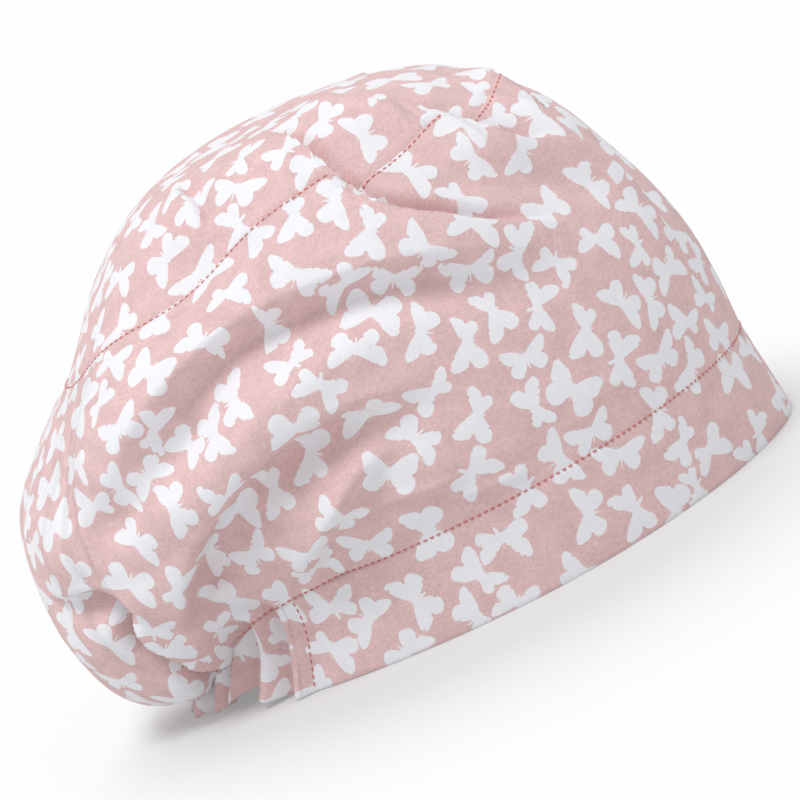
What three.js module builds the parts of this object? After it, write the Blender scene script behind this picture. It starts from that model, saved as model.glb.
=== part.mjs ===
// A woven cotton scrub cap, standing on its rim, in millimetres, +Z up.
// The front of the cap is at -Y and the wearer's right is at -X. The rim lies in the
// plane z = 0, and the origin is below the middle of the cap's whole outline.
//
// Places on the cloth are given by a turn and a rise. The turn is in degrees round the
// head from the middle of the front, positive over the wearer's right ear. The rise goes
// up the cloth: 0 at the rim, 1 at the crown seam and 2 at the middle of the crown.

import * as THREE from "three";
import { mergeVertices } from "three/addons/utils/BufferGeometryUtils.js";

// Driving dimensions
const CLOTH = 1.4; // wall of the crown and the band
const HEM_CLOTH = 2.2; // wall of the turned hem, three layers of cloth
const SEAM_GAP = 0.3; // clearance between two pieces along a seam
const BAND_HEIGHT = 118; // cloth from the hem's stitching up to the crown seam
const HEM_HEIGHT = 31; // cloth from the rim up to the hem's stitching
const HEM_RISE = 0.21; // rise of the hem's stitching
const ELASTIC_TURN = 137; // turn at which the elastic begins, on both sides
const EYELET = 0.035; // rise left open round the crown's middle before it is capped

// How finely the cloth is divided
const FRONT_COLUMNS = 62; // round the front, between the two ends of the elastic
const BACK_COLUMNS = 46; // round the gathered back
const HEM_ROWS = 3;
const BAND_ROWS = 14;
const CROWN_ROWS = 7;

// A table is a list of rows whose values are named by one list of columns.
function table(columns, rows) {
  return rows.map((row) => Object.fromEntries(columns.map((name, i) => [name, row[i]])));
}

// Level rings of cloth from the rim to the middle of the crown. Each is an oval whose
// height runs from zFront over zSide to zBack. Power 2 is an ellipse, less is more
// pointed and more is squarer. The higher the sag, the later the drop to zBack begins.
const SECTIONS = table(
  ["rise", "zFront", "zSide", "zBack", "yFront", "yBack", "yWide", "halfWidth", "power", "sag"],
  [
    [0.00, 0, 0, 8, -118, 86, -20, 74.5, 1.82, 2.2], // rim
    [0.21, 31, 31, 27, -114.5, 80, -20, 76, 1.88, 2], // hem stitching
    [0.32, 48, 48, 6, -114.5, 97, -10, 80, 1.95, 5], // lowest part of the pouch
    [0.45, 66, 66, 18, -113, 112, 0, 82, 2.0, 4],
    [0.60, 84, 86, 46, -108.5, 118, 0, 82, 2.05, 2.5],
    [0.76, 103, 108, 76, -101, 115, 0, 78, 2.1, 2],
    [0.89, 121, 127, 97, -92, 97, 0, 70, 2.1, 1.7],
    [1.00, 134, 138, 111, -80, 80, -2, 61, 2.1, 1.5], // crown seam
    [1.25, 146, 148, 134, -64, 58, -4, 49, 2.1, 2],
    [1.60, 153, 154, 150, -38, 32, -6, 28, 2.1, 2],
    [2.00, 154.5, 154.5, 154.5, -7, -7, -7, 0, 2.1, 2], // middle of the crown
  ],
);

// Soft hollows (negative depth) and swellings, each an oval patch on the cloth. The
// length lies along the slant, which is measured from level, rising towards the back.
const DENTS = table(
  ["turn", "rise", "depth", "length", "breadth", "slant"],
  [
    // wearer's right
    [97, 0.79, -5.5, 52, 9, 0], // shaded hollow under the crown's edge
    [103, 0.65, 2.5, 40, 9, 2],
    [55, 0.72, -3, 20, 8, 20],
    [108, 0.55, -4.5, 26, 8, -24],
    [92, 0.48, 2.5, 26, 22, 60],
    [128, 0.62, 2, 20, 14, 10],
    [147, 0.72, -3.5, 30, 9, 80],
    [63, 1.0, -6, 14, 13, 0],
    [115, 1.02, -10, 17, 15, 0],
    [140, 1.0, 3, 18, 13, 0],
    [124, 1.35, -3, 16, 8, 50],
    [40, 0.55, 1.5, 26, 20, 0],
    // wearer's left
    [-100, 0.8, -5, 46, 10, -4],
    [-88, 0.62, 2.5, 36, 12, 4],
    [-60, 0.74, -3, 18, 8, -15],
    [-112, 0.52, -4, 26, 9, 20],
    [-72, 1.0, -5, 15, 13, 0],
    [-112, 1.0, -7, 16, 14, 0],
    [-142, 1.0, 3, 18, 13, 0],
    [-148, 0.7, -3, 28, 9, -80],
    // the back
    [180, 0.75, -3, 20, 9, 90],
    [165, 0.55, 2, 16, 12, 90],
    [-163, 0.6, 2.5, 18, 12, 90],
  ],
);

// Creases, each a ridge along a path of turns and rises, with a trough along one side of
// it: above the path where the path runs towards the front, behind it where it runs up.
const CREASES = table(
  ["path", "ridge", "below", "above", "trough"],
  [
    // wearer's right
    [[[80, 1.24], [77, 1.0], [71, 0.83], [59, 0.72], [49, 0.65]], 3, 12, 5.5, 4],
    [[[18, 1.75], [40, 1.35], [53, 1.02], [46, 0.88], [36, 0.8]], 2.5, 12, 5.5, 3],
    [[[30, 0.97], [24, 0.84], [18, 0.72]], 1.6, 10, 5, 2],
    [[[157, 0.24], [151, 0.32], [147, 0.44], [150, 0.56]], 3.5, 10, 5, 4],
    // wearer's left
    [[[-84, 1.22], [-80, 1.0], [-72, 0.84], [-58, 0.74]], 3, 12, 5.5, 4],
    [[[-20, 1.7], [-42, 1.3], [-50, 1.0], [-44, 0.86]], 2.5, 12, 5.5, 3],
    [[[-156, 0.26], [-149, 0.4], [-150, 0.56]], 3, 10, 5, 3.5],
  ],
);

// Gathers that the elastic draws in, as waves round the back: each row is a set of
// waves, and they fade away up the cloth from the stitching.
const GATHERS = table(
  ["waves", "height", "shift"],
  [
    [38, 1.9, 0.3],
    [59, 0.6, 1.7],
    [23, 1.1, 4.0],
  ],
);
const GATHER_FADE = 0.5; // rise at which the gathers have faded out
const GATHER_START = 134; // turn at which they begin
const GATHER_FULL = 152; // turn from which they are at their full height

const DEGREE = Math.PI / 180;

function smoothStep(low, high, value) {
  const share = Math.min(1, Math.max(0, (value - low) / (high - low)));
  return share * share * (3 - 2 * share);
}

// A smooth curve through one column of a table, at any rise.
function along(rows, key, column, at) {
  let i = 0;
  while (i < rows.length - 2 && at >= rows[i + 1][key]) {
    i += 1;
  }
  const from = rows[i];
  const to = rows[i + 1];
  const before = rows[Math.max(i - 1, 0)];
  const after = rows[Math.min(i + 2, rows.length - 1)];
  const span = to[key] - from[key];
  const startSlope = (to[column] - before[column]) / (to[key] - before[key]);
  const endSlope = (after[column] - from[column]) / (after[key] - from[key]);
  const t = (at - from[key]) / span;
  const t2 = t * t;
  const t3 = t2 * t;
  return (
    (2 * t3 - 3 * t2 + 1) * from[column] +
    (t3 - 2 * t2 + t) * span * startSlope +
    (3 * t2 - 2 * t3) * to[column] +
    (t3 - t2) * span * endSlope
  );
}

// The smooth form of the cap, before any fold.
function formPoint(turn, rise) {
  const read = (column) => along(SECTIONS, "rise", column, rise);
  const cosine = Math.cos(turn * DEGREE);
  const sine = Math.sin(turn * DEGREE);
  const roundness = 2 / read("power");
  const reach = Math.abs(cosine) ** roundness;
  const width = Math.sign(sine) * Math.abs(sine) ** roundness;
  const zSide = read("zSide");
  const isFront = cosine > 0;
  const yEnd = isFront ? read("yFront") : read("yBack");
  const zEnd = isFront ? read("zFront") : read("zBack");
  const blend = Math.abs(cosine) ** (isFront ? 2 : read("sag"));
  const y = read("yWide") + (yEnd - read("yWide")) * reach;
  const z = zSide + (zEnd - zSide) * blend;
  return new THREE.Vector3(-read("halfWidth") * width, y, z);
}

// The outward direction and the level direction of a surface at one place.
const STEP_TURN = 0.4;
const STEP_RISE = 0.004;

function frameOf(surface, turn, rise) {
  const high = Math.min(rise + STEP_RISE, 2 - EYELET / 2);
  const low = Math.max(rise - STEP_RISE, 0);
  const level = surface(turn + STEP_TURN, rise).sub(surface(turn - STEP_TURN, rise)).normalize();
  const up = surface(turn, high).sub(surface(turn, low)).normalize();
  const out = up.clone().cross(level).normalize();
  return { level, out };
}

// Dents and creases are measured on the smooth form, so each is placed once.
const placedDents = DENTS.map((dent) => {
  const { level, out } = frameOf(formPoint, dent.turn, dent.rise);
  const lengthwise = level.clone().applyAxisAngle(out, -dent.slant * DEGREE);
  const crosswise = out.clone().cross(lengthwise);
  return { ...dent, at: formPoint(dent.turn, dent.rise), lengthwise, crosswise, out };
});

const CREASE_STEPS = 24;
const CREASE_END = 0.3; // share of a crease over which each end dies away

const placedCreases = CREASES.map((crease) => {
  const path = new THREE.CatmullRomCurve3(
    crease.path.map(([turn, rise]) => new THREE.Vector3(turn / 100, rise, 0)),
  );
  const places = path.getPoints(CREASE_STEPS).map((p) => ({ turn: p.x * 100, rise: p.y }));
  const points = places.map(({ turn, rise }) => formPoint(turn, rise));
  const outs = places.map(({ turn, rise }) => frameOf(formPoint, turn, rise).out);
  const hand = Math.sign(places[0].turn);
  return { ...crease, points, outs, hand };
});

function dentHeight(dent, point) {
  const offset = point.clone().sub(dent.at);
  const l = offset.dot(dent.lengthwise) / dent.length;
  const b = offset.dot(dent.crosswise) / dent.breadth;
  const n = offset.dot(dent.out) / dent.length;
  return dent.depth * Math.exp(-l * l - b * b - n * n);
}

// The nearest place on a crease: how far along it, and how far to its trough's side.
function placeOn(crease, point) {
  const found = { share: 0, side: 0, distance: Infinity };
  for (let i = 0; i < CREASE_STEPS; i += 1) {
    const from = crease.points[i];
    const forward = crease.points[i + 1].clone().sub(from);
    const offset = point.clone().sub(from);
    const t = Math.min(1, Math.max(0, offset.dot(forward) / forward.lengthSq()));
    offset.addScaledVector(forward, -t);
    const distance = offset.length();
    if (distance < found.distance) {
      const out = crease.outs[i].clone().lerp(crease.outs[i + 1], t);
      found.share = (i + t) / CREASE_STEPS;
      found.side = distance * Math.sign(offset.dot(out.cross(forward)) * crease.hand);
      found.distance = distance;
    }
  }
  return found;
}

function creaseHeight(crease, point) {
  const { share, side } = placeOn(crease, point);
  const ends = smoothStep(0, CREASE_END, share) * smoothStep(1, 1 - CREASE_END, share);
  const ridgeWidth = side < 0 ? crease.below : crease.above;
  const ridge = crease.ridge * Math.exp(-((side / ridgeWidth) ** 2));
  const trough = crease.trough * Math.exp(-(((side - 2 * crease.above) / crease.above) ** 2) / 2);
  return ends * (ridge - trough);
}

function gatherHeight(turn, rise) {
  const behind = Math.abs(((turn + 540) % 360) - 180);
  const round = smoothStep(GATHER_START, GATHER_FULL, behind);
  const up = smoothStep(GATHER_FADE, HEM_RISE, rise);
  if (round * up === 0) {
    return 0;
  }
  const waves = GATHERS.map((set) => set.height * Math.sin(set.waves * turn * DEGREE + set.shift));
  return round * up * waves.reduce((sum, wave) => sum + wave, 0);
}

// The outer face of the cloth, with its folds.
function clothPoint(turn, rise) {
  const point = formPoint(turn, rise);
  const { out } = frameOf(formPoint, turn, rise);
  const radial = new THREE.Vector3(point.x, point.y, 0).normalize();
  let height = 0;
  placedDents.forEach((dent) => {
    height += dentHeight(dent, point);
  });
  placedCreases.forEach((crease) => {
    height += creaseHeight(crease, point);
  });
  height *= smoothStep(0, HEM_RISE, rise);
  return point.addScaledVector(out, height).addScaledVector(radial, gatherHeight(turn, rise));
}

// The directions from the outer to the inner face are level at the rim, so that the
// rim's lower face is flat.
function inwardAt(turn, rise) {
  const { out } = frameOf(clothPoint, turn, rise);
  out.z *= smoothStep(0, HEM_RISE / 2, rise);
  return out.normalize().negate();
}

function evenSteps(from, to, count) {
  return Array.from({ length: count + 1 }, (unused, i) => from + ((to - from) * i) / count);
}

// The columns are closer together round the gathered back.
const FRONT_TURNS = evenSteps(-ELASTIC_TURN, ELASTIC_TURN, FRONT_COLUMNS);
const BACK_TURNS = evenSteps(ELASTIC_TURN, 360 - ELASTIC_TURN, BACK_COLUMNS);
const ALL_TURNS = [...FRONT_TURNS, ...BACK_TURNS.slice(1, -1)];

// One piece of cloth: an outer and an inner face over a grid of turns and rises, closed
// along its edges. A ring's last column meets its first. A capped piece ends in a point.
function clothPiece({ turns, rises, wall, ring = false, tip = null }) {
  const across = turns.length;
  const faces = [0, wall].map((depth) =>
    rises.map((rise) =>
      turns.map((turn) => clothPoint(turn, rise).addScaledVector(inwardAt(turn, rise), depth)),
    ),
  );
  const corners = [];
  const triangle = (a, b, c) => corners.push(a, b, c);
  const quad = (a, b, c, d) => {
    triangle(a, b, c);
    triangle(a, c, d);
  };
  const columns = ring ? across : across - 1;
  const [outer, inner] = faces;
  const last = rises.length - 1;
  for (let j = 0; j < columns; j += 1) {
    const k = (j + 1) % across;
    for (let i = 0; i < last; i += 1) {
      quad(outer[i][j], outer[i + 1][j], outer[i + 1][k], outer[i][k]);
      quad(inner[i][j], inner[i][k], inner[i + 1][k], inner[i + 1][j]);
    }
    quad(outer[0][j], outer[0][k], inner[0][k], inner[0][j]);
    if (tip) {
      triangle(outer[last][j], tip[0], outer[last][k]);
      triangle(inner[last][j], inner[last][k], tip[1]);
    } else {
      quad(outer[last][j], inner[last][j], inner[last][k], outer[last][k]);
    }
  }
  if (!ring) {
    const end = across - 1;
    for (let i = 0; i < last; i += 1) {
      quad(outer[i][0], inner[i][0], inner[i + 1][0], outer[i + 1][0]);
      quad(outer[i][end], outer[i + 1][end], inner[i + 1][end], inner[i][end]);
    }
  }
  const geometry = new THREE.BufferGeometry();
  const values = new Float32Array(corners.flatMap((p) => [p.x, p.y, p.z]));
  geometry.setAttribute("position", new THREE.BufferAttribute(values, 3));
  const merged = mergeVertices(geometry, 1e-4);
  merged.computeVertexNormals();
  return merged;
}

const group = new THREE.Group();

function addPiece(name, geometry, color, roughness) {
  const material = new THREE.MeshStandardMaterial({ color, roughness, metalness: 0 });
  const mesh = new THREE.Mesh(geometry, material);
  mesh.name = name;
  group.add(mesh);
}

// Gaps along the seams, as a share of the rise
const BAND_GAP = (SEAM_GAP / BAND_HEIGHT) * (1 - HEM_RISE);
const HEM_GAP = (SEAM_GAP / HEM_HEIGHT) * HEM_RISE;
const END_GAP = 0.25; // degrees of turn between the hem and the gathered casing

// Turned hem round the front and the sides, the face that the cap stands on
const hemTurns = evenSteps(-ELASTIC_TURN + END_GAP, ELASTIC_TURN - END_GAP, FRONT_COLUMNS);
const hemGeometry = clothPiece({
  turns: hemTurns,
  rises: evenSteps(0, HEM_RISE - HEM_GAP, HEM_ROWS),
  wall: HEM_CLOTH,
});
addPiece("front_hem", hemGeometry, 0xdcb4b2, 0.9);

// The same hem turned over the elastic, drawn into gathers round the back
const casingGeometry = clothPiece({
  turns: BACK_TURNS,
  rises: evenSteps(0, HEM_RISE - HEM_GAP, HEM_ROWS),
  wall: HEM_CLOTH,
});
addPiece("elastic_casing", casingGeometry, 0xd4a8a6, 0.9);

// Deep band from the hem up to the crown seam, with the pouch at the back
const bandGeometry = clothPiece({
  turns: ALL_TURNS,
  rises: evenSteps(HEM_RISE, 1 - BAND_GAP / 2, BAND_ROWS),
  wall: CLOTH,
  ring: true,
});
addPiece("side_band", bandGeometry, 0xe0bab8, 0.9);

// Oval crown panel, closed over the middle of the crown
const crownEnd = 2 - EYELET;
const crownTop = formPoint(0, 2);
const crownGeometry = clothPiece({
  turns: ALL_TURNS,
  rises: evenSteps(1 + BAND_GAP / 2, crownEnd, CROWN_ROWS),
  wall: CLOTH,
  ring: true,
  tip: [crownTop, crownTop.clone().add(new THREE.Vector3(0, 0, -CLOTH))],
});
addPiece("crown_panel", crownGeometry, 0xe4c0be, 0.9);

export default group;
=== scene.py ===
import math
import bpy
import numpy as np
from mathutils import Matrix


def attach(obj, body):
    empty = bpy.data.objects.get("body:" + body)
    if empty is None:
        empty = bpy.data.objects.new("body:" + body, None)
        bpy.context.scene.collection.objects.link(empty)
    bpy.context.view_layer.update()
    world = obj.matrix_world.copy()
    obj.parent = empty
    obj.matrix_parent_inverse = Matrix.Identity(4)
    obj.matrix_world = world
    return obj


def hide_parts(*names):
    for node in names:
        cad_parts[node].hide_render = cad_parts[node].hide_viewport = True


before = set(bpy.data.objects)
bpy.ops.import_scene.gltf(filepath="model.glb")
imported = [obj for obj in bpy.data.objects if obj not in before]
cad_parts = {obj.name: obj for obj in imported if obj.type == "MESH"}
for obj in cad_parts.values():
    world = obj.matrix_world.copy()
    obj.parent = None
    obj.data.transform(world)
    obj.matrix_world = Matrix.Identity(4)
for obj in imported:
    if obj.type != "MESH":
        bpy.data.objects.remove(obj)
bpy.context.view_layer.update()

# The side band is the deep band of printed cotton that goes round the whole head below the
# crown seam. It is cut from one length of cloth, closed at the middle of the back, and hangs
# as a loose pouch over the gathers there. Its lower edge is turned up as the hem.

# Places on the cloth are given by a turn, in degrees round the head from the front, positive
# over the wearer's right ear, and a rise: 0 rim, 0.21 hem stitching, 1 crown seam, 2 middle.
HEM_RISE = 0.21
ELASTIC_TURN = 137
CLOTH_WALL = 0.7  # mm

# Level rings of cloth, in millimetres: rise, height at the front, side and back, y at the
# front, back and widest place, half width, squareness, and how late the drop to the back is.
SECTIONS = np.array([
    [0.00, 0, 0, 0.5, -118, 90, -20, 74.5, 1.82, 2.2],
    [0.21, 31, 31, 12, -114.5, 80, -20, 76, 1.88, 7],
    [0.32, 48, 48, 6, -114.5, 97, -10, 80, 1.95, 5],
    [0.45, 66, 66, 18, -113, 112, 0, 82, 2.0, 4],
    [0.60, 84, 86, 46, -108.5, 118, 0, 82, 2.05, 2.5],
    [0.76, 103, 108, 76, -101, 115, 0, 78, 2.1, 2],
    [0.89, 121, 127, 97, -92, 97, 0, 70, 2.1, 1.7],
    [1.00, 134, 138, 111, -80, 80, -2, 61, 2.1, 1.5],
    [1.25, 146, 148, 134, -64, 58, -4, 49, 2.1, 2],
    [1.60, 153, 154, 150, -38, 32, -6, 28, 2.1, 2],
    [2.00, 154.5, 154.5, 154.5, -7, -7, -7, 0, 2.1, 2],
])

# Soft hollows and swellings: turn, rise, height (a hollow's is below 0), length, breadth, and
# how many degrees its length slants up from level.
DENTS = [
    [46, 0.79, -3.4, 36, 8, 27],
    [144, 0.74, -5.5, 26, 14, 50],
    [128, 0.62, 2, 20, 14, 10],
    [63, 1.0, -2.5, 18, 14, 0],
    [115, 1.0, -6, 25, 18, 0],
    [140, 1.0, 3, 18, 13, 0],
    [40, 0.5, 1.5, 26, 20, 0],
    [160, 0.3, 7, 13, 10, 0],
    [-100, 0.8, -5, 46, 10, -4],
    [-88, 0.62, 2.5, 36, 12, 4],
    [-60, 0.74, -3, 18, 8, -15],
    [-112, 0.52, -4, 26, 9, 20],
    [-72, 1.0, -5, 15, 13, 0],
    [-112, 1.0, -7, 16, 14, 0],
    [-150, 1.0, -4, 20, 14, 0],
    [-148, 0.7, -3, 28, 9, -80],
    [180, 0.75, -3, 20, 9, 90],
    [165, 0.55, 2, 16, 12, 90],
    [-163, 0.6, 2.5, 18, 12, 90],
]

# Folds, each a raised lip along a path of turns and rises, and a trough beside it: lip height
# and breadth, drop from lip to trough, trough depth and breadth, and the trough's side, 1
# to the left of the path as it is seen from outside on the wearer's right, -1 to its right.
FOLDS = [
    # the long hollow under the crown's edge, and the roll of cloth below it
    [[[135, 0.74], [123, 0.78], [109, 0.82], [93, 0.81], [77, 0.775], [63, 0.705], [44, 0.59]],
     2.8, 17, 6.5, 7, 13, -1],
    [[[164, 0.70], [150, 0.715], [136, 0.735], [122, 0.765], [104, 0.8]], 1.8, 13, 15, 5, 12, -1],
    [[[164, 0.68], [150, 0.655], [137, 0.59], [122, 0.585], [102, 0.64], [82, 0.66], [58, 0.54]],
     4, 8, 12, 0, 10, -1],
    # the folds that fan out from the end of the elastic
    [[[148, 0.35], [139, 0.39], [124, 0.47], [110, 0.545], [95, 0.56], [76, 0.49]],
     2.2, 9, 7, 10.5, 11, -1],
    [[[133, 0.228], [121, 0.286], [108, 0.355], [99, 0.412], [90, 0.455]], 3.2, 5, 7.5, 2.6, 8, -1],
    [[[108, 0.322], [98, 0.305], [89, 0.292]], 0.7, 2.2, 2.5, 0.5, 3, -1],
    [[[97, 0.262], [88, 0.25], [79, 0.243]], 0.6, 2, 2.5, 0.4, 3, -1],
    # the two sharp creases over the crown's seam, and the crest in front of them
    [[[90, 1.66], [86, 1.5], [81, 1.26], [78, 0.98], [74, 0.87], [67, 0.805], [55, 0.72],
      [43, 0.66]], 3.6, 11, 1.6, 6, 3.6, 1],
    [[[28, 1.7], [46, 1.6], [54, 1.45], [54, 1.27], [50, 1.11], [47, 0.97], [43, 0.89],
      [37, 0.845], [29, 0.81]], 4, 11, 2, 5.6, 3.8, 1],
    [[[2, 1.12], [14, 1.045], [22, 0.96], [29, 0.85], [26, 0.74], [23, 0.615], [22, 0.45]],
     5, 8, 3.5, 6, 16, 1],
    [[[136, 1.6], [118, 1.35], [110, 1.1]], 1.2, 6, 2.4, 2.6, 4, 1],
    # over the pouch, and the flap that laps over its lower end
    [[[166, 0.66], [150, 0.6], [145, 0.53], [144, 0.47], [146, 0.42]], 2.4, 10, 3.5, 6, 7, -1],
    [[[143, 0.53], [149, 0.43], [151, 0.36], [154, 0.3], [157, 0.25], [160, 0.2]],
     3, 8, 1.5, 12, 5.5, -1],
    [[[153, 0.33], [157, 0.25], [161, 0.17], [165, 0.1], [168, 0.04], [171, 0]],
     3.4, 8, 1.5, 1, 5, -1],
    # wearer's left
    [[[-84, 1.4], [-80, 1.05], [-72, 0.86], [-52, 0.72]], 2.4, 11, 3, 3.6, 8, 1],
    [[[-40, 1.42], [-46, 1.2], [-48, 1.0], [-42, 0.84]], 2.2, 10, 3, 3.2, 7, 1],
    [[[-136, 0.74], [-112, 0.8], [-92, 0.79], [-66, 0.7]], 2.2, 20, 7, 6, 12, -1],
    [[[-138, 0.36], [-122, 0.44], [-104, 0.52], [-84, 0.5]], 1.8, 10, 7, 4, 8, -1],
    [[[-130, 0.24], [-116, 0.29], [-104, 0.36]], 1.6, 6, 4.5, 2.2, 6, -1],
    [[[-160, 0.62], [-149, 0.54], [-146, 0.42]], 2, 10, 4, 4, 7, -1],
]

# Gathers drawn in by the elastic: waves round the head, height, shift. Next to its ends they
# are pleats instead: turn, height, half breadth in degrees.
GATHERS = [[61, 2.4, 0.3], [97, 0.9, 1.7], [38, 1.4, 4.0]]
PLEATS = [[137.8, 3.2, 1.8], [141.6, -3, 1.5], [145.2, 3.8, 2], [150, -3.6, 2.2]]
RIM_LIFT = 151, 5, 6.5  # where the elastic lifts the rim off the floor, in the same terms

# Where the two creases over the crown's seam drag it down: between which turns the drag grows,
# between which it ends, and how much of the rise it takes.
SEAM_JOGS = [(50, 77, 77.6, 79.6, 0.045), (14, 45, 46.6, 48.6, 0.04)]


def smooth_step(low, high, value):
    share = np.clip((value - low) / (high - low), 0, 1)
    return share * share * (3 - 2 * share)


def unit(vectors):
    return vectors / np.maximum(np.linalg.norm(vectors, axis=-1, keepdims=True), 1e-12)


def curve_through(keys, rows, at):
    """A smooth curve through rows of values that stand at rising keys."""
    i = np.clip(np.searchsorted(keys, at, side="right") - 1, 0, len(keys) - 2)
    before, after = np.maximum(i - 1, 0), np.minimum(i + 2, len(keys) - 1)
    span = (keys[i + 1] - keys[i])[..., None]
    start = (rows[i + 1] - rows[before]) / (keys[i + 1] - keys[before])[..., None]
    end = (rows[after] - rows[i]) / (keys[after] - keys[i])[..., None]
    t = (at - keys[i])[..., None] / span
    return (
        (2 * t**3 - 3 * t**2 + 1) * rows[i]
        + (t**3 - 2 * t**2 + t) * span * start
        + (3 * t**2 - 2 * t**3) * rows[i + 1]
        + (t**3 - t**2) * span * end
    )


def form(turn, rise):
    """The smooth form of the cap before any fold, in millimetres."""
    turn, rise = np.broadcast_arrays(np.asarray(turn, float), np.asarray(rise, float))
    values = curve_through(SECTIONS[:, 0], SECTIONS[:, 1:], rise)
    z_front, z_side, z_back, y_front, y_back, y_wide, half_width, power, sag = np.moveaxis(
        values, -1, 0
    )
    cosine, sine = np.cos(np.radians(turn)), np.sin(np.radians(turn))
    reach = np.abs(cosine) ** (2 / power)
    width = np.sign(sine) * np.abs(sine) ** (2 / power)
    y_end = np.where(cosine > 0, y_front, y_back)
    z_end = np.where(cosine > 0, z_front, z_back)
    blend = np.abs(cosine) ** np.where(cosine > 0, 2, sag)
    return np.stack(
        [-half_width * width, y_wide + (y_end - y_wide) * reach, z_side + (z_end - z_side) * blend],
        axis=-1,
    )


def directions(turn, rise):
    """The level and the outward direction of the smooth form, from four places close by."""
    high, low = np.minimum(rise + 0.004, 1.98), np.maximum(rise - 0.004, 0)
    level = unit(form(turn + 0.4, rise) - form(turn - 0.4, rise))
    up = unit(form(turn, high) - form(turn, low))
    return level, unit(np.cross(up, level))


def dent_heights(points):
    height = np.zeros(points.shape[:-1])
    for turn, rise, peak, length, breadth, slant in DENTS:
        level, out = directions(np.float64(turn), np.float64(rise))
        angle = math.radians(-slant)
        along = level * math.cos(angle) + np.cross(out, level) * math.sin(angle)
        offset = points - form(turn, rise)
        height += peak * np.exp(
            -((offset @ along / length) ** 2)
            - (offset @ np.cross(out, along) / breadth) ** 2
            - (offset @ out / length) ** 2
        )
    return height


def place_on_path(points, path, steps=24):
    """How far along a path each point is, and how far to its left or right."""
    knots = np.array(path, float)
    keys = np.arange(len(knots), dtype=float)
    places = curve_through(keys, knots, np.linspace(0, len(knots) - 1, steps + 1))
    line = form(places[:, 0], places[:, 1])
    outs = directions(places[:, 0], places[:, 1])[1]
    nearest = np.full(points.shape[:-1], np.inf)
    share, side = np.zeros_like(nearest), np.zeros_like(nearest)
    for i in range(steps):
        forward = line[i + 1] - line[i]
        offset = points - line[i]
        t = np.clip(offset @ forward / (forward @ forward), 0, 1)
        offset = offset - t[..., None] * forward
        distance = np.linalg.norm(offset, axis=-1)
        out = outs[i] + (outs[i + 1] - outs[i]) * t[..., None]
        hand = np.sign((offset * np.cross(out, forward)).sum(-1)) * np.sign(places[0, 0])
        closer = distance < nearest
        nearest = np.where(closer, distance, nearest)
        share = np.where(closer, (i + t) / steps, share)
        side = np.where(closer, distance * hand, side)
    return share, side


def fold_heights(points):
    height = np.zeros(points.shape[:-1])
    for path, lip, breadth, drop, trough, recovery, hand in FOLDS:
        share, side = place_on_path(points, path)
        side = side * hand
        ends = smooth_step(0, 0.25, share) * smooth_step(1, 0.7, share)
        outside = lip * np.exp(-((side / breadth) ** 2))
        falling = lip - (lip + trough) * smooth_step(0, drop, side)
        inside = -trough * np.exp(-(((side - drop) / recovery) ** 2))
        height += ends * np.where(side < 0, outside, np.where(side < drop, falling, inside))
    return height


def away_from_front(turn):
    """A turn as degrees to either side of the front."""
    return np.abs((turn + 540) % 360 - 180)


def gather_heights(turn, rise):
    behind = away_from_front(turn)
    waves = sum(h * np.sin(n * np.radians(turn) + shift) for n, h, shift in GATHERS)
    pleats = sum(h * np.exp(-(((behind - at) / broad) ** 2)) for at, h, broad in PLEATS)
    waves = waves * smooth_step(152, 158, behind) * smooth_step(0.26, 0.08, rise)
    return waves + pleats * smooth_step(0.36, 0.15, rise)


def rim_lift(turn, rise):
    """How far the elastic lifts the rim off the floor beside the gathers at the back."""
    at, high, broad = RIM_LIFT
    lift = high * np.exp(-(((away_from_front(turn) - at) / broad) ** 2))
    return lift * smooth_step(HEM_RISE, 0, rise)


def seam_heights(rise):
    """The shallow grooves that the stitching pulls along the hem and the crown seam."""
    return -0.2 * np.exp(-(((rise - HEM_RISE) / 0.008) ** 2)) - 0.5 * np.exp(
        -(((rise - 1) / 0.007) ** 2)
    )


def seam_jogs(turn, rise):
    """How far the two creases over the crown's seam drag it down, as a change of the rise."""
    jogs = sum(
        drag * smooth_step(start, full, turn) * smooth_step(end, easing, turn)
        for start, full, easing, end, drag in SEAM_JOGS
    )
    return jogs * np.exp(-(((rise - 1) / 0.13) ** 2))


def cloth(turn, rise):
    """The outer face of the cloth with its folds, in millimetres."""
    turn, rise = np.broadcast_arrays(np.asarray(turn, float), np.asarray(rise, float))
    sewn, rise = rise, rise - seam_jogs(turn, rise)
    points = form(turn, rise)
    out = directions(turn, rise)[1]
    radial = unit(points * (1, 1, 0))
    # the stitched hem stays smooth round the front and sides, where nothing gathers it
    free = np.maximum(smooth_step(0, HEM_RISE, rise), smooth_step(145, 158, np.abs(turn)))
    height = (dent_heights(points) + fold_heights(points)) * free
    height += seam_heights(sewn)
    gathers = radial * gather_heights(turn, rise)[..., None]
    return points + out * height[..., None] + gathers + (0, 0, 1) * rim_lift(turn, rise)[..., None]


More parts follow.
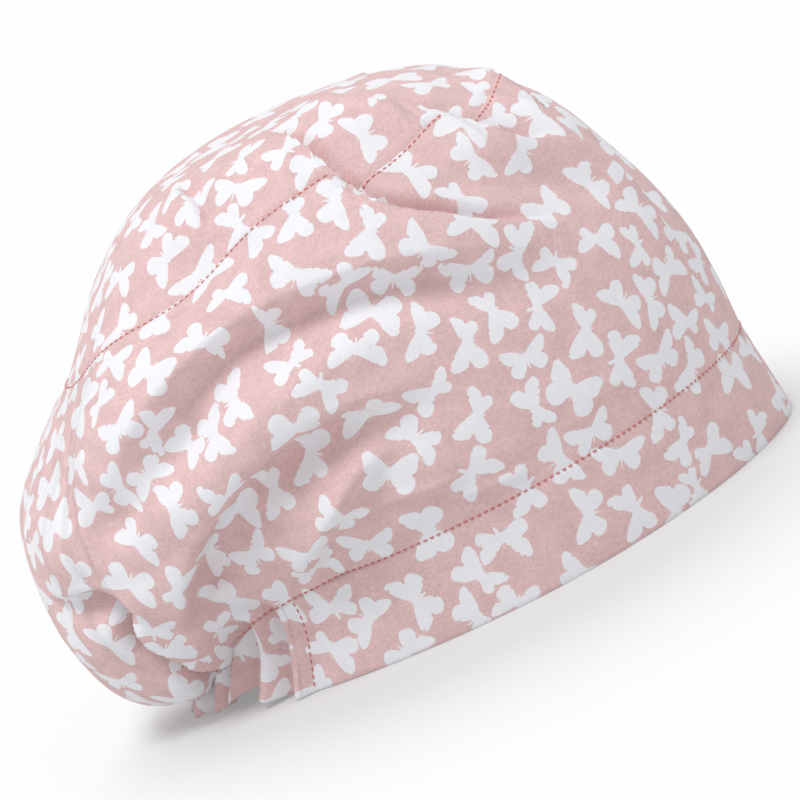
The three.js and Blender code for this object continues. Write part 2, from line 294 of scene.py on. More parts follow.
# The band and its hem are one length of cloth, so they share one grid. Its columns stand
# at even steps round the widest part, closer together where the elastic gathers it.
HEM_ROWS, BAND_ROWS, COLUMNS = 20, 104, 440
WIDEST_RISE = 0.4
GATHERED_MORE = 1.2  # how many more columns there are to a length of gathered cloth
fine_turns = np.linspace(-180, 180, 1441)
widest_ring = form(fine_turns, WIDEST_RISE)
steps_round = np.linalg.norm(np.diff(widest_ring, axis=0), axis=-1)
steps_round *= 1 + GATHERED_MORE * smooth_step(127, ELASTIC_TURN, np.abs(fine_turns[1:]))
length_round = np.concatenate([[0], np.cumsum(steps_round)])
even_steps = np.linspace(0, length_round[-1], COLUMNS + 1)
band_turns = np.interp(even_steps, length_round, fine_turns)
band_turns[np.argmin(np.abs(band_turns - ELASTIC_TURN))] = ELASTIC_TURN
band_turns[np.argmin(np.abs(band_turns + ELASTIC_TURN))] = -ELASTIC_TURN
band_rises = np.concatenate([
    np.linspace(0, HEM_RISE, HEM_ROWS + 1),
    np.linspace(HEM_RISE, 1, BAND_ROWS + 1)[1:],
])
band_grid = cloth(band_turns[None, :], band_rises[:, None])

# Six outlines of a flying butterfly, as angles in degrees from its head, clockwise, and
# radii as a share of its half span. The first three are seen from above and are mirrored.
SEEN_FROM_ABOVE = [
    [(0, 0.18), (18, 0.16), (31, 0.24), (42, 0.42), (50, 0.66), (56, 0.88), (61, 0.99),
     (67, 0.98), (74, 0.9), (84, 0.79), (92, 0.7), (96, 0.58), (101, 0.67), (108, 0.76),
     (120, 0.82), (133, 0.79), (145, 0.72), (153, 0.58), (159, 0.36), (165, 0.22), (173, 0.3),
     (180, 0.46)],
    [(0, 0.2), (14, 0.17), (25, 0.3), (34, 0.55), (41, 0.8), (48, 0.97), (55, 1.0), (64, 0.92),
     (75, 0.85), (86, 0.77), (91, 0.68), (97, 0.74), (107, 0.83), (121, 0.87), (135, 0.84),
     (148, 0.74), (157, 0.54), (163, 0.3), (170, 0.22), (180, 0.4)],
    [(0, 0.17), (22, 0.14), (42, 0.24), (54, 0.44), (62, 0.7), (68, 0.92), (73, 1.0), (79, 0.97),
     (86, 0.86), (95, 0.76), (101, 0.65), (106, 0.68), (116, 0.75), (130, 0.77), (144, 0.72),
     (154, 0.54), (161, 0.3), (168, 0.2), (176, 0.34), (180, 0.5)],
]
SEEN_FROM_THE_SIDE = [
    [(-180, 0.2), (-176, 0.42), (-170, 0.36), (-162, 0.2), (-150, 0.3), (-142, 0.52),
     (-130, 0.7), (-114, 0.76), (-98, 0.74), (-85, 0.64), (-78, 0.54), (-72, 0.66), (-62, 0.76),
     (-50, 0.86), (-42, 0.9), (-36, 0.8), (-30, 0.5), (-22, 0.22), (-10, 0.14), (6, 0.14),
     (28, 0.16), (52, 0.2), (66, 0.4), (74, 0.72), (80, 0.98), (86, 1.0), (95, 0.92),
     (106, 0.84), (114, 0.72), (119, 0.6), (125, 0.7), (136, 0.82), (149, 0.84), (160, 0.72),
     (167, 0.46), (173, 0.24), (180, 0.2)],
    [(-180, 0.42), (-172, 0.34), (-162, 0.2), (-149, 0.3), (-141, 0.54), (-130, 0.72),
     (-116, 0.74), (-104, 0.66), (-97, 0.58), (-90, 0.72), (-78, 0.84), (-69, 0.92), (-62, 0.86),
     (-54, 0.62), (-44, 0.34), (-30, 0.2), (-8, 0.16), (2, 0.16), (8, 0.34), (13, 0.66),
     (19, 0.94), (26, 1.0), (35, 0.92), (46, 0.8), (54, 0.7), (60, 0.58), (67, 0.68), (79, 0.82),
     (93, 0.84), (105, 0.72), (113, 0.48), (122, 0.26), (142, 0.18), (160, 0.18), (172, 0.34),
     (180, 0.42)],
    [(-180, 0.32), (-165, 0.18), (-149, 0.24), (-139, 0.4), (-127, 0.56), (-112, 0.6),
     (-98, 0.54), (-90, 0.48), (-82, 0.6), (-70, 0.7), (-58, 0.8), (-50, 0.74), (-40, 0.5),
     (-28, 0.26), (-14, 0.16), (4, 0.15), (24, 0.2), (38, 0.36), (47, 0.62), (55, 0.9),
     (62, 1.0), (70, 0.95), (81, 0.84), (90, 0.74), (96, 0.6), (102, 0.72), (113, 0.86),
     (127, 0.9), (139, 0.8), (148, 0.56), (156, 0.28), (168, 0.18), (180, 0.32)],
]
OUTLINES = [
    [(-angle, radius) for angle, radius in reversed(half[1:])] + half
    for half in SEEN_FROM_ABOVE
] + SEEN_FROM_THE_SIDE
HALF_SPAN = 10.1  # mm
NOWHERE = 60.0  # mm from any butterfly
CLEARANCE, BORDER = 0.6, 1.1  # mm round an outline: kept free of others, and drawn with it


def outline_radius(kind, x, y):
    angles, radii = np.array(OUTLINES[kind]).T
    return np.interp(np.degrees(np.arctan2(x, y)), angles, radii) * HALF_SPAN


def lengths_on(grid):
    """The length of cloth along each row and up each column, in millimetres."""
    round_it = np.linalg.norm(np.diff(grid, axis=1), axis=-1)
    up_it = np.linalg.norm(np.diff(grid, axis=0), axis=-1)
    around = np.pad(np.cumsum(round_it, axis=1), ((0, 0), (1, 0)))
    upward = np.pad(np.cumsum(up_it, axis=0), ((1, 0), (0, 0)))
    return around - around[:, [around.shape[1] // 2]], upward


def face_corners(grid):
    """The four corners of each face of a grid, in the order in which its mesh has them."""
    return np.stack([grid[:-1, :-1], grid[1:, :-1], grid[1:, 1:], grid[:-1, 1:]], 2)


def scatter_butterflies(flat_around, tries, random, sizes=((0.45, 1.0), (0.8, 0.92), (1, 0.8))):
    """Scatters butterflies over a grid of cloth so that none touch. flat_around gives, for a
    chosen face, a window of the grid and the flat places of its corners about that face.
    Returns each face's corners in its own butterfly's frame, and its kind."""
    rows, columns = flat_around.shape
    corner_x = np.full((rows, columns, 4), NOWHERE)
    corner_y = np.full((rows, columns, 4), NOWHERE)
    kinds = np.zeros((rows, columns), int)
    taken = np.zeros((rows, columns), bool)
    owned = np.zeros((rows, columns), bool)
    for attempt in range(tries):
        row, column = random.integers(rows), random.integers(columns)
        if taken[row, column]:
            continue
        size = next(s for share, s in sizes if attempt <= share * tries)
        size *= random.uniform(0.92, 1.06)
        kind, angle = random.integers(len(OUTLINES)), random.uniform(0, 2 * math.pi)
        window, x, y = flat_around(row, column)
        turned_x = (x * math.cos(angle) - y * math.sin(angle)) / size
        turned_y = (x * math.sin(angle) + y * math.cos(angle)) / size
        corners_x, corners_y = face_corners(turned_x), face_corners(turned_y)
        middle_x, middle_y = corners_x.mean(-1), corners_y.mean(-1)
        gap = np.hypot(middle_x, middle_y) - outline_radius(kind, middle_x, middle_y)
        covered = gap * size < CLEARANCE
        if (covered & taken[window]).any():
            continue
        taken[window] |= covered
        covered = covered | (gap * size < BORDER) & ~owned[window]
        owned[window] |= covered
        kinds[window] = np.where(covered, kind, kinds[window])
        corner_x[window] = np.where(covered[..., None], corners_x, corner_x[window])
        corner_y[window] = np.where(covered[..., None], corners_y, corner_y[window])
    return corner_x, corner_y, kinds


FLAT_REACH = 12  # mm from the middle of a butterfly that its shape can reach
LEVELLED = 6  # mm round that middle over which the cloth's direction is averaged
MOST_STRETCH = 1.8  # of a place's distance, where the cloth stands steep to that direction


class FlatCloth:
    """A grid of cloth laid flat about any of its faces: each corner keeps its direction and its
    straight distance from that face."""

    def __init__(self, points, whole=False):
        self.points, self.whole = points, whole
        self.shape = (points.shape[0] - 1, points.shape[1] - 1)
        self.outs = unit(np.cross(np.gradient(points, axis=0), np.gradient(points, axis=1)))

    def window(self, row, column):
        """The rows and columns within reach of a face."""
        if self.whole:
            return slice(None), slice(None), slice(None), slice(None)
        here = self.points[row, column]
        wide = np.linalg.norm(self.points[row, column + 1] - here)
        high = np.linalg.norm(self.points[row + 1, column] - here)
        across, up = int(1.3 * FLAT_REACH / wide) + 2, int(1.3 * FLAT_REACH / high) + 2
        r0, r1 = max(row - up, 0), min(row + up, self.shape[0])
        c0, c1 = max(column - across, 0), min(column + across, self.shape[1])
        return slice(r0, r1), slice(c0, c1), slice(r0, r1 + 1), slice(c0, c1 + 1)

    def __call__(self, row, column):
        face_rows, face_columns, point_rows, point_columns = self.window(row, column)
        here = self.points[row, column]
        offset = self.points[point_rows, point_columns] - here
        distance = np.linalg.norm(offset, axis=-1)
        weights = np.exp(-((distance / LEVELLED) ** 2))[..., None]
        out = unit((self.outs[point_rows, point_columns] * weights).sum((0, 1)))
        level = self.points[row, column + 1] - here
        level = unit(level - (level @ out) * out)
        x, y = offset @ level, offset @ np.cross(level, out)
        longer = np.minimum(distance / np.maximum(np.hypot(x, y), 0.01), MOST_STRETCH)
        return (face_rows, face_columns), x * longer, y * longer


band_flats = lengths_on(band_grid)
band_prints = scatter_butterflies(FlatCloth(band_grid), 16000, np.random.default_rng(7))


def cloth_mesh(name, points, prints, flats, ring=False):
    """A sheet of quads over a grid of points in millimetres, with its print and its weave.
    prints are the corners and kinds of its faces; flats are its lengths of cloth."""
    rows, columns = points.shape[0] - 1, points.shape[1] - 1
    kept = points[:, :-1] if ring else points
    index = np.arange(kept.shape[0] * kept.shape[1]).reshape(kept.shape[:2])
    if ring:
        index = np.concatenate([index, index[:, :1]], axis=1)
    faces = face_corners(index)
    mesh = bpy.data.meshes.new(name)
    mesh.from_pydata((kept.reshape(-1, 3) / 1000).tolist(), [], faces.reshape(-1, 4).tolist())
    corner_x, corner_y, kinds = prints
    butterfly = mesh.uv_layers.new(name="butterfly")
    butterfly.data.foreach_set("uv", np.stack([corner_x, corner_y], -1).astype("f").ravel())
    around, upward = flats
    flat = np.stack([around, upward], -1) / 1000
    corners = face_corners(flat)
    weave = mesh.uv_layers.new(name="weave")
    weave.data.foreach_set("uv", corners.astype("f").ravel())
    kind = mesh.attributes.new("kind", "FLOAT", "FACE")
    kind.data.foreach_set("value", kinds.astype("f").ravel())
    mesh.polygons.foreach_set("use_smooth", np.ones(rows * columns, bool))
    piece = bpy.data.objects.new(name, mesh)
    bpy.context.scene.collection.objects.link(piece)
    return piece


def select_only(*pieces):
    """Selects these pieces alone, and makes the last of them active."""
    bpy.ops.object.select_all(action="DESELECT")
    for piece in pieces:
        piece.select_set(True)
        bpy.context.view_layer.objects.active = piece


def thicken(piece, wall):
    """Gives a sheet its wall on the inside, where its second material shows."""
    solidify = piece.modifiers.new("wall", "SOLIDIFY")
    solidify.thickness = wall / 1000
    solidify.offset = -1
    solidify.use_even_offset = False
    solidify.material_offset = 1
    select_only(piece)
    bpy.ops.object.modifier_apply(modifier=solidify.name)
    bpy.ops.object.shade_smooth_by_angle(angle=math.radians(60))


class Socket:
    """A socket of one material's nodes. Maths on it adds the Math nodes."""

    def __init__(self, tree, socket=None):
        self.tree, self.socket = tree, socket

    def node(self, kind, settings=(), sockets=(), output=0):
        """Any node: its type, its settings first, then the values or links of its sockets."""
        made = self.tree.nodes.new(kind)
        for name, value in dict(settings).items():
            if name == "points":
                curve = made.mapping.curves[0]
                while len(curve.points) < len(value):
                    curve.points.new(0.5, 0.5)
                for point, place in zip(curve.points, value):
                    point.location = place
                made.mapping.update()
            else:
                setattr(made, name, value)
        for name, value in dict(sockets).items():
            if isinstance(value, Socket):
                self.tree.links.new(value.socket, made.inputs[name])
            else:
                made.inputs[name].default_value = value
        return Socket(self.tree, made.outputs[output] if made.outputs else None)

    def maths(self, operation, *values, clamp=False):
        settings = {"operation": operation, "use_clamp": clamp}
        return self.node("ShaderNodeMath", settings, enumerate(values))

    def __add__(self, other):
        return self.maths("ADD", self, other)

    __radd__ = __add__

    def __mul__(self, other):
        return self.maths("MULTIPLY", self, other)

    __rmul__ = __mul__

    def __sub__(self, other):
        return self.maths("SUBTRACT", self, other)

    def __rsub__(self, other):
        return self.maths("SUBTRACT", other, self)

    def __truediv__(self, other):
        return self.maths("DIVIDE", self, other)

    def __pow__(self, other):
        return self.maths("POWER", self, other)

    def sine(self):
        return self.maths("SINE", self)

    def size(self):
        return self.maths("ABSOLUTE", self)

    def clamped(self):
        return self.maths("ADD", self, 0.0, clamp=True)

    def mix(self, factor, first, second):
        """first, turning into second as factor goes from 0 to 1."""
        sockets = {0: factor, 6: first, 7: second}
        return self.node("ShaderNodeMix", {"data_type": "RGBA"}, sockets, output=2)


def rgb(red, green, blue):
    return (red, green, blue, 1.0)


THREAD_PITCH = 0.0005  # metres from one wave of the weave to the next


def printed_cotton(name, ground, paint, strength):
    """A fine plain weave in a dusty pink, with white butterflies printed on it."""
    material = bpy.data.materials.new(name)
    material.use_nodes = True
    tree = material.node_tree
    tree.nodes.clear()
    shade = Socket(tree)

    own = shade.node("ShaderNodeUVMap", {"uv_map": "butterfly"})
    x = shade.node("ShaderNodeSeparateXYZ", (), {0: own}, output=0)
    y = shade.node("ShaderNodeSeparateXYZ", (), {0: own}, output=1)
    kind = shade.node("ShaderNodeAttribute", {"attribute_name": "kind"}, output=2)
    radius = (x * x + y * y) ** 0.5
    angle = shade.maths("ARCTAN2", x, y) / (2 * math.pi) + 0.5
    reach = 0.0
    for number, outline in enumerate(OUTLINES):
        points = [(degrees / 360 + 0.5, share) for degrees, share in outline]
        curve = shade.node("ShaderNodeFloatCurve", {"points": points}, {1: angle})
        reach = reach + curve * shade.maths("COMPARE", kind, float(number), 0.1)
    weave = shade.node("ShaderNodeUVMap", {"uv_map": "weave"})
    ragged = shade.node("ShaderNodeTexNoise", (), {0: weave, "Scale": 2400.0, "Detail": 1.0})
    edge = (reach * HALF_SPAN - radius + (ragged - 0.5) * 0.12) / 0.2 + 0.5
    butterfly = edge.clamped()
    # two fine feelers in a narrow V before the head, 1.2 to 4.4 mm from the middle
    spread = (x.size() - y * 0.3 - 0.1).size()
    begun, ended = ((y - 1.2) / 0.3).clamped(), ((4.4 - y) / 1.0).clamped()
    feeler = ((0.16 - spread) / 0.1).clamped() * begun * ended
    painted = shade.maths("MAXIMUM", butterfly, feeler * 0.55) * strength

    # single threads, slubs in the yarn, clouds where the pile is brushed up, and stray hairs
    along = shade.node("ShaderNodeSeparateXYZ", (), {0: weave}, output=0)
    across = shade.node("ShaderNodeSeparateXYZ", (), {0: weave}, output=1)
    wave = 2 * math.pi / THREAD_PITCH
    threads = (along * wave).sine() * (across * wave).sine()
    grain = shade.node("ShaderNodeTexNoise", (), {0: weave, "Scale": 2600.0, "Detail": 2.0})
    slub = shade.node(
        "ShaderNodeTexNoise", (), {0: weave, "Scale": 700.0, "Detail": 4.0, "Roughness": 0.75}
    )
    cloud = shade.node("ShaderNodeTexNoise", (), {0: weave, "Scale": 130.0, "Detail": 4.0})
    curls = shade.node(
        "ShaderNodeTexNoise", (), {0: weave, "Scale": 330.0, "Detail": 1.0, "Distortion": 1.5}
    )
    hair = ((0.012 - (curls - 0.5).size()) / 0.008).clamped() * ((slub - 0.52) / 0.06).clamped()
    fleck = (grain - 0.5) * 1.6 + (slub - 0.5) * 1.35 + (cloud - 0.5) * 0.85 + threads * 0.12 + 0.5
    pale, deep = (tuple(min(1, c * f) for c in ground[:3]) + (1,) for f in (1.2, 0.8))
    pink = shade.mix(hair * 0.45, shade.mix(fleck.clamped(), deep, pale), paint)
    dull = tuple(c * 0.93 for c in paint[:3]) + (1,)
    white = shade.mix(fleck.clamped(), dull, paint)
    color = shade.mix(painted, pink, white)

    height = threads * 0.5 + (slub - 0.5) * 2.5 + (cloud - 0.5) * 4.0 + hair
    relief = {"Strength": 0.6, "Distance": 0.00018, "Height": height}
    bump = shade.node("ShaderNodeBump", (), relief)
    surface = shade.node(
        "ShaderNodeBsdfPrincipled",
        (),
        {
            "Base Color": color,
            "Roughness": 0.88,
            "Specular IOR Level": 0.25,
            "Sheen Weight": 0.12,
            "Sheen Roughness": 0.5,
            "Normal": bump,
        },
    )
    shade.node("ShaderNodeOutputMaterial", (), {0: surface})
    return material


PINK = rgb(0.74, 0.512, 0.512)
WHITE = rgb(0.88, 0.88, 0.92)
cotton = printed_cotton("printed cotton", PINK, WHITE, 1.0)
cotton_reverse = printed_cotton("reverse of the cotton", rgb(0.74, 0.58, 0.57), WHITE, 0.35)


def rows_of(prints, flats, first, last, start=0, end=None):
    """The part of the print and the lengths that belongs to some rows and columns of a grid."""
    stop = None if end is None else end + 1
    return (
        tuple(part[first:last, start:end] for part in prints),
        tuple(part[first : last + 1, start:stop] for part in flats),
    )


side_band = cloth_mesh(
    "side_band_cloth",
    band_grid[HEM_ROWS:],
    *rows_of(band_prints, band_flats, HEM_ROWS, HEM_ROWS + BAND_ROWS),
    ring=True,
)
side_band.data.materials.append(cotton)
side_band.data.materials.append(cotton_reverse)
thicken(side_band, CLOTH_WALL)
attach(side_band, "root")
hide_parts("side_band")

# The front hem is the band's own lower edge, turned up inside round the front and both sides
# and stitched once along its top. Its fold is the rounded edge of the rim.
HEM_WALL = 1.6  # mm, three layers of the cotton
HEM_ROUNDING = 0.35  # mm that the fold rounds off below the outer face
FOLD_STEPS = 6
FOLD_LENGTH = 2.5  # mm of cloth round the fold


def turned_hem(name, start, end):
    """The turned hem between two columns of the band: an outer face, the fold, an inner face."""
    outer = band_grid[: HEM_ROWS + 1, start : end + 1]
    level = np.gradient(outer, axis=1)
    up = np.gradient(outer, axis=0)
    out = unit(np.cross(up, level))
    out[..., 2] *= smooth_step(0, HEM_ROWS / 2, np.arange(HEM_ROWS + 1))[:, None]
    out = unit(out)
    if (out[0, 0] * outer[0, 0] * (1, 1, 0)).sum() < 0:
        out = -out
    upwards = np.array([0, 0, HEM_ROUNDING])
    fold = [
        outer[0] - out[0] * HEM_WALL / 2 * (1 - math.cos(a)) + upwards * (1 - math.sin(a))
        for a in np.linspace(0, math.pi, FOLD_STEPS + 1)
    ]
    outer = outer + upwards * smooth_step(2, 0, np.arange(HEM_ROWS + 1))[:, None, None]
    inner = outer - out * HEM_WALL
    turned_fold = np.array(fold[-2:0:-1])
    rows = np.concatenate([inner[::-1], turned_fold, outer, inner[-1:]])
    prints, flats = rows_of(band_prints, band_flats, 0, HEM_ROWS, start, end)
    folds = len(rows) - 2 * (HEM_ROWS + 1)
    x, y, kinds = (
        np.concatenate([part[::-1], np.repeat(part[:1], folds, axis=0), part, part[-1:]])
        for part in prints
    )
    x[-1], y[-1] = NOWHERE, NOWHERE
    flip = [1, 0, 3, 2]
    x[:HEM_ROWS], y[:HEM_ROWS] = x[:HEM_ROWS][..., flip], y[:HEM_ROWS][..., flip]
    around, up_it = flats
    turn_round = np.repeat(around[:1], folds - 1, axis=0)
    around = np.concatenate([around[::-1], turn_round, around, around[-1:]])
    drop = np.linspace(-FOLD_LENGTH, 0, folds + 1)[1:-1, None] + np.zeros_like(up_it[:1])
    upward = np.concatenate([-FOLD_LENGTH - up_it[::-1], drop, up_it, up_it[-1:] + HEM_WALL])
    return cloth_mesh(name, rows, (x, y, kinds), (around, upward))


def close_hem(piece):
    """Sews a turned hem shut along its top and closes its two ends."""
    select_only(piece)
    bpy.ops.object.mode_set(mode="EDIT")
    bpy.ops.mesh.select_all(action="SELECT")
    bpy.ops.mesh.remove_doubles(threshold=1e-6)
    bpy.ops.mesh.fill_holes(sides=0)
    bpy.ops.object.mode_set(mode="OBJECT")
    plain = piece.data.uv_layers["butterfly"].data
    for face in piece.data.polygons:
        if len(face.vertices) > 4:
            for corner in face.loop_indices:
                plain[corner].uv = (NOWHERE, NOWHERE)


start_column = int(np.argmin(np.abs(band_turns + ELASTIC_TURN)))
end_column = int(np.argmin(np.abs(band_turns - ELASTIC_TURN)))
front_hem = turned_hem("front_hem_cloth", start_column, end_column)
close_hem(front_hem)
front_hem.data.materials.append(cotton)
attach(front_hem, "root")
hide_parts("front_hem")

# The elastic casing is the same turned hem at the back, with a narrow elastic inside. The
# elastic is held at its two ends by upright rows of stitching and draws the cloth into a ruffle.
casing_left = turned_hem("casing_left", 0, start_column)
casing_right = turned_hem("casing_right", end_column, len(band_turns) - 1)
select_only(casing_left, casing_right)
bpy.ops.object.join()
elastic_casing = casing_right
elastic_casing.name = "elastic_casing_cloth"
close_hem(elastic_casing)
elastic_casing.data.materials.append(cotton)
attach(elastic_casing, "root")
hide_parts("elastic_casing")

# The crown panel is an oval of the same cotton, let into the top of the band. Its seam
# allowance is pressed down into the band and topstitched.
CROWN_ROWS = 96
CROWN_REACH = 0.985  # how much of the way to the middle the innermost row stands
# the rows stand a little further apart near the seam
inwards = np.linspace(0, 1, CROWN_ROWS + 1) ** 0.92
crown_rises = 1 + inwards * CROWN_REACH
crown_grid = cloth(band_turns[None, :], crown_rises[:, None])

# its weave is laid flat from the middle, by the length of cloth out to each place
crown_middle = crown_grid[-1].mean(0)
to_middle = np.concatenate([crown_grid, np.broadcast_to(crown_middle, crown_grid[:1].shape)])
crown_steps = np.linalg.norm(np.diff(to_middle, axis=0), axis=-1)
out_from_middle = np.cumsum(crown_steps[::-1], axis=0)[::-1]
crown_flats = unit((crown_grid - crown_middle)[..., :2]) * out_from_middle[..., None]
crown_random = np.random.default_rng(11)
crown_prints = scatter_butterflies(FlatCloth(crown_grid, whole=True), 2500, crown_random)
crown_panel = cloth_mesh(
    "crown_panel_cloth",
    crown_grid,
    crown_prints,
    (crown_flats[..., 0], crown_flats[..., 1]),
    ring=True,
)
crown_panel.data.materials.append(cotton)
crown_panel.data.materials.append(cotton_reverse)

# the innermost ring of the grid is drawn together into the crown's middle
select_only(crown_panel)
bpy.ops.object.mode_set(mode="EDIT")
bpy.ops.mesh.select_mode(type="VERT")
bpy.ops.mesh.select_all(action="DESELECT")
bpy.ops.object.mode_set(mode="OBJECT")
for point in crown_panel.data.vertices[-(len(band_turns) - 1) :]:
    point.select = True
bpy.ops.object.mode_set(mode="EDIT")
bpy.ops.mesh.merge(type="CENTER")
bpy.ops.object.mode_set(mode="OBJECT")
thicken(crown_panel, CLOTH_WALL)
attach(crown_panel, "root")
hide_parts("crown_panel")

# The topstitching is rose-red thread in a plain lock stitch: once round the top of the hem
# and the casing, once round the band just below the crown seam, and in an upright row that
# holds each end of the elastic.
STITCH, STITCH_GAP, THREAD = 1.7, 0.5, 0.5  # mm
STITCH_HEIGHT, STITCH_SINK = 0.12, 0.28  # mm above the cloth at its middle, and drop to its ends
CROWN_STITCH_RISE = 0.991
bpy.ops.object.select_all(action="DESELECT")
bpy.ops.mesh.primitive_uv_sphere_add(segments=8, ring_count=6, radius=0.5)
stitch = bpy.context.object
bpy.ops.object.mode_set(mode="EDIT")
bpy.ops.mesh.select_all(action="SELECT")
bpy.ops.transform.rotate(value=math.pi / 2, orient_axis="Y", center_override=(0, 0, 0))
bpy.ops.transform.resize(value=(STITCH, THREAD, THREAD))
bpy.ops.object.mode_set(mode="OBJECT")
one_stitch = np.array([v.co[:] for v in stitch.data.vertices])
one_stitch[:, 2] -= STITCH_SINK * (2 * one_stitch[:, 0] / STITCH) ** 2
stitch_faces = [list(face.vertices) for face in stitch.data.polygons]
bpy.data.objects.remove(stitch)


def stitches_along(turns, rises):
    """Stitches at even steps along a line of places on the cloth."""
    line, raised = cloth(turns, rises), cloth(turns, rises + 0.006)
    beside = cloth(turns + 0.15, rises)
    out = unit(np.cross(raised - line, beside - line))
    steps = np.concatenate([[0], np.cumsum(np.linalg.norm(np.diff(line, axis=0), axis=-1))])
    count = int(steps[-1] / (STITCH + STITCH_GAP))
    at = (np.arange(count) + 0.5) * steps[-1] / count
    here = np.stack([np.interp(at, steps, line[:, i]) for i in range(3)], -1)
    behind = np.stack([np.interp(at - STITCH / 2, steps, line[:, i]) for i in range(3)], -1)
    ahead = np.stack([np.interp(at + STITCH / 2, steps, line[:, i]) for i in range(3)], -1)
    normal = np.stack([np.interp(at, steps, out[:, i]) for i in range(3)], -1)
    forward = unit(ahead - behind)
    aside = unit(np.cross(normal, forward))
    normal = np.cross(forward, aside)
    return (
        here[:, None]
        + normal[:, None] * (STITCH_HEIGHT + one_stitch[None, :, 2:3])
        + forward[:, None] * one_stitch[None, :, 0:1]
        + aside[:, None] * one_stitch[None, :, 1:2]
    )


def turns_between(start, end):
    """Closely spaced turns from one place round the head to another."""
    return np.linspace(start, end, int((end - start) * 8) + 1)


up_the_casing = np.linspace(0.012, HEM_RISE - 0.004, 60)
round_turns = turns_between(-180, 180)
rows = [stitches_along(round_turns, np.full_like(round_turns, HEM_RISE))]
# the crown's topstitching is hidden in the two creases over its seam
for start, end in ((-180, 46.4), (48.8, 77.4), (79.8, 180)):
    seam_turns = turns_between(start, end)
    rows.append(stitches_along(seam_turns, np.full_like(seam_turns, CROWN_STITCH_RISE)))
upright_turn = ELASTIC_TURN - 1.8
for turn in (-upright_turn, upright_turn):
    rows.append(stitches_along(np.full_like(up_the_casing, turn), up_the_casing))
stitch_points = np.concatenate(rows).reshape(-1, 3) / 1000
all_faces = [
    [corner + i * len(one_stitch) for corner in face]
    for i in range(len(stitch_points) // len(one_stitch))
    for face in stitch_faces
]
thread_mesh = bpy.data.meshes.new("topstitching")
thread_mesh.from_pydata(stitch_points.tolist(), [], all_faces)
thread_mesh.polygons.foreach_set("use_smooth", np.ones(len(all_faces), bool))
topstitching = bpy.data.objects.new("topstitching", thread_mesh)
bpy.context.scene.collection.objects.link(topstitching)
thread = bpy.data.materials.new("rose-red thread")
thread.use_nodes = True
thread.node_tree.nodes.clear()
shade = Socket(thread.node_tree)
place = shade.node("ShaderNodeTexCoord", output=3)
twist = shade.node("ShaderNodeTexNoise", (), {0: place, "Scale": 2500.0, "Detail": 1.0})
color = shade.mix(twist, rgb(0.42, 0.09, 0.07), rgb(0.7, 0.23, 0.19))
sockets = {"Base Color": color, "Roughness": 0.6, "Sheen Weight": 0.1}
surface = shade.node("ShaderNodeBsdfPrincipled", (), sockets)
shade.node("ShaderNodeOutputMaterial", (), {0: surface})
thread_mesh.materials.append(thread)
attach(topstitching, "root")

# The floor is a plain white sweep that the cap stands on, larger than any view of it. It
# glows a little, as a light table does, so that shadows on it stay faint.
bpy.ops.object.select_all(action="DESELECT")
bpy.ops.mesh.primitive_plane_add(size=30, location=(0, 0, 0))
floor = bpy.context.object
floor.name = "floor"
paper = bpy.data.materials.new("white paper")
paper.use_nodes = True
paper_inputs = paper.node_tree.nodes["Principled BSDF"].inputs
paper_inputs["Base Color"].default_value = rgb(0.45, 0.45, 0.45)
paper_inputs["Roughness"].default_value = 1.0
paper_inputs["Specular IOR Level"].default_value = 0.0
paper_inputs["Emission Color"].default_value = rgb(1, 1, 1)
paper_inputs["Emission Strength"].default_value = 0.24
floor.data.materials.append(paper)

# Soft studio light: a white surround, and a broad light overhead. A wider one from behind the
# cap lights the floor alone, so that the cap's soft shadow falls towards the camera.
world = bpy.data.worlds.new("studio")
bpy.context.scene.world = world
world.use_nodes = True
surround = world.node_tree.nodes["Background"].inputs
surround["Color"].default_value = rgb(1, 1, 1)
surround["Strength"].default_value = 0.67


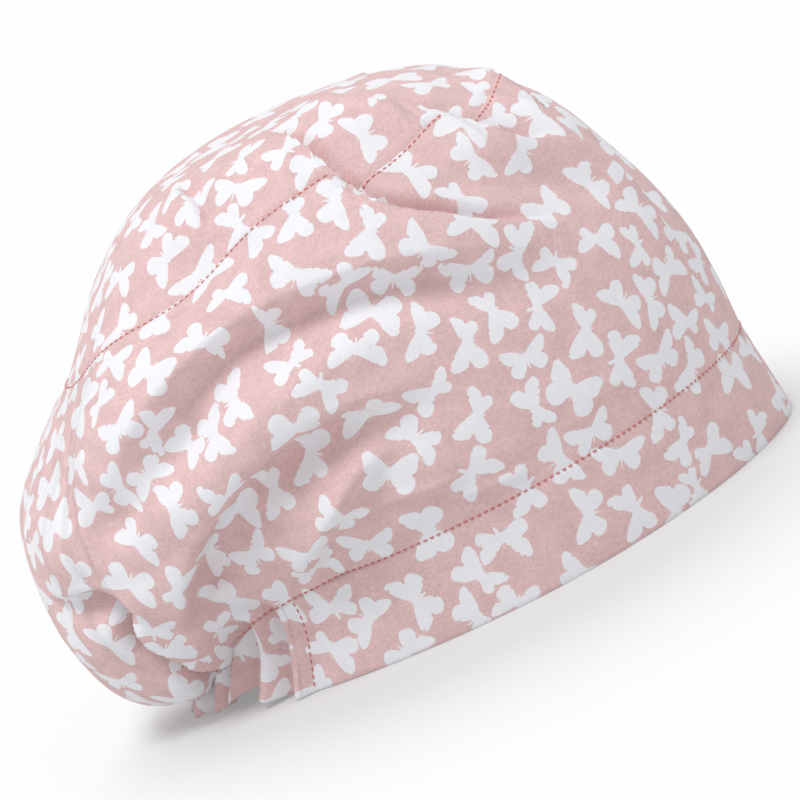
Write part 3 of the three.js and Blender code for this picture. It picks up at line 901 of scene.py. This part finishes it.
def soft_sun(name, toward, strength, spread):
    """A distant light that comes from a direction, softened over an angle in degrees."""
    light = bpy.data.lights.new(name, "SUN")
    light.energy = strength
    light.angle = math.radians(spread)
    lamp = bpy.data.objects.new(name, light)
    bpy.context.scene.collection.objects.link(lamp)
    back = unit(np.array(toward, float))
    side = unit(np.cross((0.0, 1.0, 0.0), back))
    over = np.cross(back, side)
    turned = [[side[i], over[i], back[i], back[i]] for i in range(3)]
    lamp.matrix_world = Matrix(turned + [[0, 0, 0, 1]])
    return lamp


soft_sun("key", (-0.3, 0.22, 0.92), 1.85, 22)
from_behind = soft_sun("from behind", (0.5, 0.12, 0.86), 1.65, 40)
only_floor = bpy.data.collections.new("lit from behind")
only_floor.objects.link(floor)
from_behind.light_linking.receiver_collection = only_floor

# The camera stands level with the wearer's right, a little above the floor, turned so that
# the cap hangs in the picture as it does in the photograph.
AZIMUTH, ELEVATION, ROLL = (math.radians(v) for v in (-92, 10.5, 27))
DISTANCE = 1.25  # metres from the cap's middle
MIDDLE = np.array([0, 0, 0.07])
AIM = np.array([-0.00249, -0.0087, 0.05819])  # the place at the middle of the picture
FOCAL_LENGTH, PICTURE_SIDE = 4032.26, 800  # pixels
away = np.array([
    math.sin(AZIMUTH) * math.cos(ELEVATION),
    -math.cos(AZIMUTH) * math.cos(ELEVATION),
    math.sin(ELEVATION),
])
place = MIDDLE + DISTANCE * away
back = unit(place - AIM)
level = unit(np.cross((0, 0, 1), back))
plumb = np.cross(back, level)
right = math.cos(ROLL) * level - math.sin(ROLL) * plumb
above = math.sin(ROLL) * level + math.cos(ROLL) * plumb
view = bpy.data.cameras.new("camera")
view.sensor_width = 36
view.lens = view.sensor_width * FOCAL_LENGTH / PICTURE_SIDE
view.clip_end = 50
camera = bpy.data.objects.new("camera", view)
bpy.context.scene.collection.objects.link(camera)
turned = [[right[i], above[i], back[i], place[i]] for i in range(3)]
camera.matrix_world = Matrix(turned + [[0, 0, 0, 1]])
bpy.context.scene.camera = camera
bpy.context.scene.view_settings.view_transform = "Standard"
